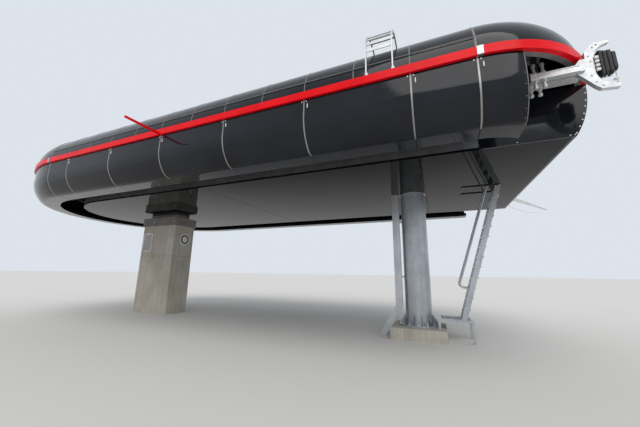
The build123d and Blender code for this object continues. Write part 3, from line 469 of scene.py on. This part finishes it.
def brick(bm, centre, size, turn=None):
    """A box with cut edges: three points at each corner, one on each of its faces."""
    cut = min(size) * 0.14
    matrix = Matrix.Translation(centre)
    if turn is not None:
        matrix = matrix @ turn.to_4x4()
    verts = {}
    for corner in product((-1, 1), repeat=3):
        for face in range(3):
            ends = [s / 2 - (0.0 if axis == face else cut) for axis, s in enumerate(size)]
            spot = Vector([sign * end for sign, end in zip(corner, ends)])
            verts[corner, face] = bm.verts.new(matrix @ spot)
        bm.faces.new([verts[corner, face] for face in range(3)])
    around = ((-1, -1), (1, -1), (1, 1), (-1, 1))
    for axis in range(3):
        a, b = (i for i in range(3) if i != axis)
        for pair in around:
            low, high = ((*pair[:axis], end, *pair[axis:]) for end in (-1, 1))
            bm.faces.new((verts[low, a], verts[high, a], verts[high, b], verts[low, b]))
        for end in (-1, 1):
            bm.faces.new([verts[(*pair[:axis], end, *pair[axis:]), axis] for pair in around])


def rod(bm, a, b, radius, sides=12):
    """A round bar from a to b."""
    a, b = Vector(a), Vector(b)
    axis = b - a
    turn = axis.to_track_quat("Z", "Y").to_matrix().to_4x4()
    matrix = Matrix.Translation((a + b) / 2) @ turn
    bmesh.ops.create_cone(
        bm, cap_ends=True, segments=sides, radius1=radius, radius2=radius,
        depth=axis.length, matrix=matrix,
    )


def dome_rivet(bm, centre, normal, radius, sides=8):
    """A low round head that stands on a surface."""
    turn = Vector(normal).to_track_quat("Z", "Y").to_matrix().to_4x4()
    matrix = Matrix.Translation(centre) @ turn
    rings = ((0.0, 1.0), (0.35, 0.85), (0.55, 0.45))
    loops = []
    for height, wide in rings:
        loop = []
        for i in range(sides):
            a = 2 * pi * i / sides
            x, y = radius * wide * cos(a), radius * wide * sin(a)
            loop.append(bm.verts.new(matrix @ Vector((x, y, radius * height))))
        loops.append(loop)
    for low, high in zip(loops, loops[1:]):
        for i in range(sides):
            j = (i + 1) % sides
            bm.faces.new((low[i], low[j], high[j], high[i]))
    bm.faces.new(loops[-1])
    bm.faces.new(list(reversed(loops[0])))


def hex_bolt(bm, centre, normal, across, height, stud=0.0):
    """A washer, a hexagon head and, if asked for, the stud's end over it."""
    turn = Vector(normal).to_track_quat("Z", "Y").to_matrix().to_4x4()
    n = Vector(normal).normalized()
    centre = Vector(centre)
    for start, tall, radius, sides in (
        (0.0, height * 0.22, across * 0.68, 16),
        (height * 0.22, height, across * 0.5 / cos(pi / 6), 6),
        (height * 1.22, stud, across * 0.28, 12),
    ):
        if tall <= 0:
            continue
        matrix = Matrix.Translation(centre + n * (start + tall / 2)) @ turn
        bmesh.ops.create_cone(
            bm, cap_ends=True, segments=sides, radius1=radius, radius2=radius * 0.94,
            depth=tall, matrix=matrix,
        )


def ribbon(bm, points, normals, side, width, thick):
    """A flat strip that follows points on a surface; its width runs along side."""
    side = Vector(side).normalized()
    loops = []
    for p, n in zip(points, normals):
        base = Vector(p) - Vector(n) * STRIP_SINK
        top = Vector(p) + Vector(n) * thick
        loops.append([
            bm.verts.new(base - side * width / 2),
            bm.verts.new(top - side * width * 0.42),
            bm.verts.new(top + side * width * 0.42),
            bm.verts.new(base + side * width / 2),
        ])
    for low, high in zip(loops, loops[1:]):
        for i in range(4):
            j = (i + 1) % 4
            bm.faces.new((low[i], low[j], high[j], high[i]))
    bm.faces.new(loops[0])
    bm.faces.new(list(reversed(loops[-1])))


def circle_through(a, b, c):
    """Centre and radius of the circle through three points of a section."""
    ax, ay = a
    bx, by = b
    cx, cy = c
    aa, bb, cc = ax**2 + ay**2, bx**2 + by**2, cx**2 + cy**2
    d = 2 * (ax * (by - cy) + bx * (cy - ay) + cx * (ay - by))
    ux = (aa * (by - cy) + bb * (cy - ay) + cc * (ay - by)) / d
    uy = (aa * (cx - bx) + bb * (ax - cx) + cc * (bx - ax)) / d
    return (ux, uy), sqrt((ax - ux) ** 2 + (ay - uy) ** 2)


def cover_line(steps=14, turn_steps=8):
    """Points and outward normals down the outside of a side cover, as (u, z)."""
    top, bend, low = COVER
    inward, down = bend[0] - low[0], bend[1] - low[1]
    r = (inward**2 + down**2) / (2 * inward)
    lean = asin(down / r)
    out = [(top, (1.0, 0.0))]
    for i in range(steps + 1):
        a = -lean * i / steps
        out.append(((bend[0] - r + r * cos(a), bend[1] + r * sin(a)), (cos(a), sin(a))))
    turn_r = (low[1] - LIP_Z) / (1 - sin(lean))
    tu, tz = low[0] - turn_r * cos(lean), low[1] + turn_r * sin(lean)
    for i in range(1, turn_steps + 1):
        a = -lean - (pi / 2 - lean) * i / turn_steps
        out.append(((tu + turn_r * cos(a), tz + turn_r * sin(a)), (cos(a), sin(a))))
    return out


def roof_line_points(steps=16):
    """Points and outward normals up the outside of the roof, as (u, z)."""
    turn = asin((SHOULDER_U - CROWN_U) / (CROWN_R - SHOULDER_R))
    join = pi / 2 - turn
    out = []
    for i in range(steps + 1):
        a = pi / 2 * i / steps
        if a <= join:
            p = (SHOULDER_U + SHOULDER_R * cos(a), BAND_TOP + SHOULDER_R * sin(a))
        else:
            p = (CROWN_U + CROWN_R * cos(a), CROWN_Z + CROWN_R * sin(a))
        out.append((p, (cos(a), sin(a))))
    return out


def station_frame(x, angle):
    """For the upright plane through (x, 0) at an angle: what turns (u, z) into a place,
    what turns it into a direction, and the direction across the plane."""
    out = Vector((cos(angle), sin(angle), 0))

    def spot(u, z):
        return Vector((x, 0, 0)) + out * u + Vector((0, 0, z))

    def aim(nu, nz):
        return out * nu + Vector((0, 0, nz))

    return spot, aim, Vector((-sin(angle), cos(angle), 0))


# Cover joints: pale strips down the sides, thinner ones over the roof

side_line = cover_line()
over_line = roof_line_points()


def joint_strip(bm, line, x, angle, strip):
    """A strip along a cover's line, in the upright plane through (x, 0) at an angle."""
    spot, aim, side = station_frame(x, radians(angle))
    ribbon(bm, [spot(*p) for p, n in line], [aim(*n) for p, n in line], side, *strip)


def side_strips(bm):
    for x in SIDE_SEAMS:
        for angle in (-90, 90):
            joint_strip(bm, side_line, x, angle, SIDE_STRIP)
    for angle in REAR_SEAM_ANGLES:
        joint_strip(bm, side_line, REAR_X, angle, SIDE_STRIP)


def roof_strips(bm):
    for seams, strip in ((ROOF_SEAMS, ROOF_STRIP), (END_SEAMS, END_STRIP)):
        for x in seams:
            for angle in (-90, 90):
                joint_strip(bm, over_line, x, angle, strip)
    for x in (*ROOF_SEAMS, *END_SEAMS):
        wide = END_STRIP[0] if x in END_SEAMS else ROOF_STRIP[0]
        points = [Vector((x, y, ROOF_TOP)) for y in (-CORNER_Y, 0, CORNER_Y)]
        ribbon(bm, points, [Vector((0, 0, 1))] * 3, (1, 0, 0), wide, ROOF_STRIP[1])


new_piece("side_joint_strips", side_strips, strip_metal)
new_piece("roof_joint_strips", roof_strips, grey_steel)


# Small clamps under the band at each side joint


def at_height(line, z):
    """Place and normal on a cover's line at a height."""
    for (a, na), (b, nb) in zip(line, line[1:]):
        if a[1] >= z >= b[1]:
            t = (a[1] - z) / (a[1] - b[1])
            spot = (a[0] + (b[0] - a[0]) * t, z)
            normal = (na[0] + (nb[0] - na[0]) * t, na[1] + (nb[1] - na[1]) * t)
            return spot, normal
    return line[0]


def seam_clamps(bm):
    for x in SIDE_SEAMS[:-1]:
        for angle in (-90, 90):
            spot, aim, side = station_frame(x, radians(angle))
            p, n = at_height(side_line, CLAMP_RIVET_Z)
            for away in (-0.048, 0.048):
                dome_rivet(bm, spot(*p) + side * away, aim(*n), 0.015)
            p, n = at_height(side_line, CLAMP_Z)
            out = aim(*n)
            turn = Matrix((side, side.cross(out), out)).transposed()
            brick(bm, spot(*p) + Vector((0.075, 0, 0)) + out * 0.006, (0.018, 0.09, 0.012), turn)
            for up in (0.03, -0.03):
                dome_rivet(bm, spot(*p) + Vector((0.075, 0, up)) + out * 0.012, out, 0.009)


new_piece("seam_clamps", seam_clamps, white_metal)


# Grey edge and rivets on the mouth covers


def mouth_edge(side_y, back):
    """Places and normals down a mouth cover, a little behind its front edge."""
    x = MOUTH_X[side_y] - back
    out = []
    for (u, z), (nu, nz) in side_line:
        r = u - CORNER_Y
        across = sqrt(r * r - (x - FRONT_SEAM) ** 2)
        radial = ((x - FRONT_SEAM) / r, side_y * across / r)
        spot = Vector((x, side_y * (CORNER_Y + across), z))
        out.append((spot, Vector((radial[0] * nu, radial[1] * nu, nz))))
    return out


def mouth_trim(bm):
    for side_y in SIDES:
        edge = mouth_edge(side_y, TRIM_STRIP[0])
        ribbon(bm, [p for p, n in edge], [n for p, n in edge], (1, 0, 0), *TRIM_STRIP)


def mouth_rivets(bm):
    for side_y in SIDES:
        edge = mouth_edge(side_y, MOUTH_RIVET_BACK)
        for p, n in edge[1::4]:
            dome_rivet(bm, p, n, 0.009)


new_piece("mouth_trim", mouth_trim, grey_steel)
new_piece("mouth_rivets", mouth_rivets, grey_steel)


# Rivets down the nose's side walls, and strips down its front


def nose_line(steps=24):
    """Places and outward normals down the nose's front, as (x, z)."""
    top, middle, low, foot = NOSE_FRONT
    (cx, cz), r = circle_through(top, middle, low)
    a0 = atan2(top[1] - cz, top[0] - cx)
    a1 = atan2(low[1] - cz, low[0] - cx)
    out = []
    for i in range(steps + 1):
        a = a0 + (a1 - a0) * i / steps
        out.append(((cx + r * cos(a), cz + r * sin(a)), (cos(a), sin(a))))
    nx, nz = -cos(a1), -sin(a1)
    dx, dz = foot[0] - low[0], foot[1] - low[1]
    small = (dx * dx + dz * dz) / (2 * (dx * nx + dz * nz))
    cx, cz = low[0] + nx * small, low[1] + nz * small
    a0 = atan2(low[1] - cz, low[0] - cx)
    a1 = atan2(foot[1] - cz, foot[0] - cx)
    for i in range(1, steps + 1):
        a = a0 + (a1 - a0) * i / steps
        out.append(((cx + small * cos(a), cz + small * sin(a)), (cos(a), sin(a))))
    return out


front_line = nose_line()


def nose_rivets(bm):
    for side_y in SIDES:
        y = side_y * NOSE_WALL_Y
        done = 0.0
        last = front_line[0][0]
        next_at = 0.03
        for (x, z), (nx, nz) in front_line:
            done += hypot(x - last[0], z - last[1])
            last = (x, z)
            if done >= next_at:
                dome_rivet(bm, (x - nx * 0.026, y, z - nz * 0.026), (0, side_y, 0), 0.015)
                next_at += NOSE_RIVET_STEP
        for x in NOSE_FOOT_RIVET_X:
            dome_rivet(bm, (x, y, BELLY_Z + 0.03), (0, side_y, 0), 0.012)


new_piece("nose_rivets", nose_rivets, white_metal)


def nose_strips(bm):
    for y in NOSE_JOINT_Y:
        points = [Vector((x, y, z)) for (x, z), n in front_line]
        normals = [Vector((nx, 0, nz)) for p, (nx, nz) in front_line]
        ribbon(bm, points, normals, (0, 1, 0), *SIDE_STRIP)


new_piece("nose_strips", nose_strips, strip_metal)


# Rods, nuts and bolts of the fork arms


def arm_fittings(bm):
    for side_y in SIDES:
        for x in ROD_X:
            for away in (-ROD_Y, ROD_Y):
                y = side_y * (ARM_Y + away)
                for z, up_or_down in ((ROD_Z[1], 1), (ROD_Z[0], -1)):
                    end = (x, y, z + 0.018 * up_or_down)
                    rod(bm, (x, y, z - 0.012 * up_or_down), end, 0.034, 20)
                    dome_rivet(bm, end, (0, 0, up_or_down), 0.034, 20)
                for low, high, radius, sides in (
                    (ARM_Z[1], ARM_Z[1] + 0.01, 0.046, 20),
                    (ARM_Z[1] + 0.01, ARM_Z[1] + 0.04, 0.038, 6),
                    (ARM_Z[0] - 0.01, ARM_Z[0], 0.046, 20),
                    (ARM_Z[0] - 0.04, ARM_Z[0] - 0.01, 0.038, 6),
                ):
                    rod(bm, (x, y, low), (x, y, high), radius, sides)
        brick(bm, (ARM_BACK_X - 0.006, side_y * ARM_Y, sum(ARM_Z) / 2), (0.012, 0.35, 0.15))
        face = side_y * (FORK_Y + FORK_HALF)
        for x, z in FORK_BOLTS:
            hex_bolt(bm, (x, face, z), (0, side_y, 0), 0.022, 0.012)


def arm_web(bm):
    """The fork's flange that runs back along the arm's outer side."""
    for side_y in SIDES:
        for z in (ARM_Z[0] + 0.008, ARM_Z[1] - 0.008):
            brick(bm, (2.53, side_y * (ARM_Y + 0.164), z), (0.62, 0.012, 0.014))


new_piece("arm_fittings", arm_fittings, pale_zinc)
new_piece("arm_web", arm_web, pale_zinc)


def buffer_caps(bm):
    for side_y in SIDES:
        outer = side_y * (FORK_Y + 0.052)
        for z in BUFFER_CLIP_Z:
            brick(bm, (3.064, outer, z), (0.05, 0.03, 0.045))
        for z in (FORK_Z - 0.09, FORK_Z + 0.09):
            for away in (-0.05, 0.05):
                y = side_y * (FORK_Y + away)
                rod(bm, (3.055, y, z), (3.292, y, z), 0.009, 10)
                hex_bolt(bm, (3.277, y, z), (1, 0, 0), 0.026, 0.012)
        y = side_y * FORK_Y
        for x, half in BUFFER_PADS:
            for up_or_down in (-1, 1):
                hex_bolt(bm, (x, y, FORK_Z + up_or_down * half), (0, 0, up_or_down), 0.022, 0.012)
        brick(bm, (BUFFER_PADS[-1][0], y, 4.61), (0.05, 0.06, 0.022))
        for high, low, radius in ((4.6, 4.5, 0.012), (4.73, 4.6, 0.008)):
            rod(bm, (DROP_ROD_X, y, high), (DROP_ROD_X, y, low), radius)


new_piece("buffer_caps", buffer_caps, white_metal)


def buffer_plates(bm):
    """Thin steel plates between the rubber pads."""
    for side_y in SIDES:
        for x, half in BUFFER_PLATES:
            brick(bm, (x, side_y * FORK_Y, FORK_Z), (0.006, 0.17, 2 * half))


new_piece("buffer_plates", buffer_plates, dark_steel)


# Mast: anchor bolts, weld beads and a collar under the belly


def ring(bm, radius, z, wide, tall, steps=64):
    """A closed ring of rectangular section that stands out from a radius."""
    loops = []
    for i in range(steps):
        a = 2 * pi * i / steps
        loop = []
        outer, top = radius + wide, z + tall
        for r, h in ((radius, z), (outer, z), (outer, top), (radius, top)):
            loop.append(bm.verts.new((r * cos(a), r * sin(a), h)))
        loops.append(loop)
    for i in range(steps):
        low, high = loops[i], loops[(i + 1) % steps]
        for j in range(4):
            k = (j + 1) % 4
            bm.faces.new((low[j], low[k], high[k], high[j]))


def mast_bolts(bm):
    for i in range(ANCHOR_COUNT):
        a = radians(360 * i / ANCHOR_COUNT)
        spot = (ANCHOR_R * cos(a), ANCHOR_R * sin(a), FLANGE_TOP)
        hex_bolt(bm, spot, (0, 0, 1), 0.056, 0.034, stud=0.06)


def mast_rings(bm):
    for z, wide, tall in MAST_RINGS:
        ring(bm, MAST_R - 0.004, z, wide, tall)


new_piece("mast_bolts", mast_bolts, zinc)
new_piece("mast_rings", mast_rings, shade_dark_zinc)


# Blank plates on the pillar


def disc(bm, off, radius, thick):
    """A disc of the round plate, its back standing off the pillar's front face."""
    back = Vector((PILLAR_FACE_X + off, *ROUND_PLATE_YZ))
    rod(bm, back, back + Vector((thick, 0, 0)), radius, 48)


def round_plate(bm):
    disc(bm, 0.0, 0.245, 0.006)
    disc(bm, 0.01, 0.13, 0.006)


def notice_frame(bm):
    y = PILLAR_FACE_Y - 0.01
    for x in NOTICE_SIDE_X:
        brick(bm, (x, y, NOTICE_Z), (0.05, 0.024, 0.8))
    for z in NOTICE_EDGE_Z:
        brick(bm, (NOTICE_X, y, z), (0.55, 0.024, 0.05))


def notice_plate(bm):
    brick(bm, (NOTICE_X, PILLAR_FACE_Y - 0.004, NOTICE_Z), (0.47, 0.012, 0.71))


def round_plate_ring(bm):
    disc(bm, 0.004, 0.195, 0.008)


new_piece("round_plate", round_plate, white_metal)
new_piece("notice_frame", notice_frame, white_metal)
new_piece("notice_plate", notice_plate, notice_metal)
new_piece("round_plate_ring", round_plate_ring, dark_steel)


def bearing_bolts(bm):
    for x in BEARING_BOLT_X:
        for side_y in SIDES:
            spot = (x, side_y * BEARING_FACE_Y, BEARING_BOLT_Z)
            hex_bolt(bm, spot, (0, side_y, 0), 0.045, 0.026)


new_piece("bearing_bolts", bearing_bolts, zinc)


# Hatch over the ladder, and screws along the belly's edges


def hatch(bm):
    for y in (-0.36, 0.36):
        brick(bm, (HATCH_X, y, BELLY_Z - 0.012), (HATCH_LENGTH, 0.05, 0.03))
    brick(bm, (HATCH_BAR_X, 0, BELLY_Z - 0.008), (0.03, 0.7, 0.022))


new_piece("hatch_frame", hatch, dark_steel)


def belly_screws(bm):
    for side_y in SIDES:
        for i in range(52):
            spot = (2.75 - SCREW_STEP * i, side_y * (BELLY_Y - 0.05), BELLY_Z)
            dome_rivet(bm, spot, (0, 0, -1), 0.009, 6)
    for x in SCREW_ROW_X:
        for i in range(22):
            dome_rivet(bm, (x, -2.625 + SCREW_STEP * i, BELLY_Z), (0, 0, -1), 0.009, 6)


new_piece("belly_screws", belly_screws, dark_steel)


# Ladder: stringer bolts, and ribs on the treads


def ladder_fittings(bm):
    foot_x, foot_z = LADDER_FOOT
    rise = BELLY_Z - foot_z
    slope = (LADDER_TOP_X - foot_x) / rise
    for i in range(TREAD_COUNT):
        z = foot_z + rise * (i + 1) / (TREAD_COUNT + 1)
        x = foot_x + slope * (z - foot_z)
        for side_y in SIDES:
            y = side_y * (LADDER_HALF + 0.0225)
            for away in (0.04, 0.1):
                hex_bolt(bm, (x + away, y, z - 0.015), (0, side_y, 0), 0.018, 0.01)
        for j in range(6):
            rib_x = x + 0.02 + 0.022 * j
            rod(bm, (rib_x, -TREAD_HALF, z), (rib_x, TREAD_HALF, z), 0.0035, 6)


new_piece("ladder_fittings", ladder_fittings, zinc)


# Bullwheel hub bolts, liner clips and spoke ribs; tyre hub bolts


def bullwheel_fittings(bm):
    for i in range(HUB_BOLT_COUNT):
        a = radians(360 * i / HUB_BOLT_COUNT)
        x, y = REAR_X + HUB_BOLT_R * cos(a), HUB_BOLT_R * sin(a)
        hex_bolt(bm, (x, y, BULLWHEEL_Z + 0.15), (0, 0, 1), 0.034, 0.02)
        hex_bolt(bm, (x, y, BULLWHEEL_Z - 0.15), (0, 0, -1), 0.034, 0.02)
    for i in range(LINER_CLIP_COUNT):
        a = radians(360 * (i + 0.5) / LINER_CLIP_COUNT)
        x, y = REAR_X + LINER_R * cos(a), LINER_R * sin(a)
        for up_or_down in (-1, 1):
            z = BULLWHEEL_Z + up_or_down * 0.075
            hex_bolt(bm, (x, y, z), (0, 0, up_or_down), 0.022, 0.012)
    for i in range(SPOKE_COUNT):
        a = radians(360 * i / SPOKE_COUNT)
        along = Vector((cos(a), sin(a), 0))
        turn = Matrix((along, Vector((-sin(a), cos(a), 0)), Vector((0, 0, 1)))).transposed()
        for up_or_down in (-1, 1):
            centre = Vector((REAR_X, 0, BULLWHEEL_Z + up_or_down * 0.06)) + along * 1.6
            brick(bm, centre, (2.5, 0.02, 0.04), turn)


new_piece("bullwheel_fittings", bullwheel_fittings, zinc, "bullwheel")

for side_name, side_y in (("near", -1), ("far", 1)):
    for i, x in enumerate(TYRE_X, start=1):

        def hub_bolts(bm, x=x, side_y=side_y):
            for j in range(TYRE_BOLT_COUNT):
                a = radians(360 * j / TYRE_BOLT_COUNT)
                bolt_x, bolt_z = x + TYRE_BOLT_R * cos(a), AXLE_Z + TYRE_BOLT_R * sin(a)
                y = side_y * (TYRE_Y + 0.045)
                rod(bm, (bolt_x, y, bolt_z), (bolt_x, y + side_y * 0.008, bolt_z), 0.01, 6)

        new_piece(f"hub_bolts_{side_name}_{i}", hub_bolts, zinc, f"tyre_{side_name}_{i}")


# Roof ladder feet, and bolts on the band's sleeves


def roof_fittings(bm):
    for x in ROOF_LADDER_X:
        brick(bm, (x, -4.368, ROOF_LADDER_FOOT_Z), (0.06, 0.05, 0.07))
        hex_bolt(bm, (x, -4.393, ROOF_LADDER_FOOT_Z), (0, -1, 0), 0.024, 0.014)


new_piece("roof_fittings", roof_fittings, zinc)


def sleeve_bolts(bm):
    for x in SLEEVE_BOLT_X:
        along = x - FRONT_SEAM
        across = CORNER_Y + sqrt(SLEEVE_R * SLEEVE_R - along**2)
        for side_y in SIDES:
            for z in SLEEVE_BOLT_Z:
                dome_rivet(bm, (x, side_y * across, z), (along / SLEEVE_R, side_y, 0), 0.01)


new_piece("sleeve_bolts", sleeve_bolts, white_metal)


# Floor, light and camera

FLOOR_HALF = 300.0
FLOOR_COLOUR = (0.74, 0.73, 0.71)
GLOW_COLOUR = (0.6, 0.62, 0.65)
BACKDROP_COLOUR = (0.72, 0.77, 0.83)
SENSOR_WIDTH = 36.0
FOCAL_PIXELS = 279
PHOTO_PIXELS = 640
PITCH = radians(12)
ROLL = radians(0.8)
HEADING = Vector((-0.3895, 0.921, 0)).normalized()
EYE = Vector((0.62, -8.76, 1.7))


def floor_material(name):
    mat, tree, shader = material(name, roughness=0.9)
    shader.inputs["Specular IOR Level"].default_value = 0.1
    darker = tuple(c * 0.985 for c in FLOOR_COLOUR)
    tone = ramp(tree, noise(tree, place(tree), 0.3, 3.0), ((0.3, darker), (0.7, FLOOR_COLOUR)))
    tree.links.new(tone, shader.inputs["Base Color"])
    return mat


def make_floor():
    mesh = bpy.data.meshes.new("floor")
    corners = [(FLOOR_HALF * x, FLOOR_HALF * y, 0) for x, y in ((-1, -1), (1, -1), (1, 1), (-1, 1))]
    mesh.from_pydata(corners, [], [(0, 1, 2, 3)])
    floor = bpy.data.objects.new("floor", mesh)
    bpy.context.scene.collection.objects.link(floor)
    mesh.materials.append(floor_material("floor_pale"))


make_floor()

world = bpy.data.worlds.new("studio")
bpy.context.scene.world = world
world.use_nodes = True
tree = world.node_tree
background = tree.nodes["Background"]
path = tree.nodes.new("ShaderNodeLightPath")
seen = calc(tree, "MAXIMUM", path.outputs["Is Camera Ray"], path.outputs["Is Transmission Ray"])
seen = calc(tree, "MAXIMUM", seen, path.outputs["Is Glossy Ray"])
tree.links.new(mix(tree, seen, GLOW_COLOUR, BACKDROP_COLOUR), background.inputs["Color"])
background.inputs["Strength"].default_value = 1.0


def sun(name, aim, strength, angle, colour):
    data = bpy.data.lights.new(name, "SUN")
    data.energy = strength
    data.angle = radians(angle)
    data.color = colour
    lamp = bpy.data.objects.new(name, data)
    lamp.rotation_mode = "QUATERNION"
    lamp.rotation_quaternion = Vector(aim).to_track_quat("-Z", "Y")
    bpy.context.scene.collection.objects.link(lamp)


sun("key", (-0.25, 0.62, -0.75), 1.35, 50, (1.0, 0.98, 0.95))

# The camera stands where the photo was taken
up = Vector((0, 0, 1))
ahead = HEADING * cos(PITCH) + up * sin(PITCH)
over = up * cos(PITCH) - HEADING * sin(PITCH)
right = Vector((HEADING.y, -HEADING.x, 0))
tilted_right = right * cos(ROLL) + over * sin(ROLL)
tilted_over = over * cos(ROLL) - right * sin(ROLL)
camera_data = bpy.data.cameras.new("camera")
camera_data.sensor_width = SENSOR_WIDTH
camera_data.lens = SENSOR_WIDTH * FOCAL_PIXELS / PHOTO_PIXELS
camera_data.clip_start = 0.1
camera_data.clip_end = 1000
camera = bpy.data.objects.new("camera", camera_data)
turn = Matrix((tilted_right, tilted_over, -ahead)).transposed()
camera.matrix_world = Matrix.Translation(EYE) @ turn.to_4x4()
bpy.context.scene.collection.objects.link(camera)
bpy.context.scene.camera = camera
bpy.context.scene.view_settings.view_transform = "Standard"
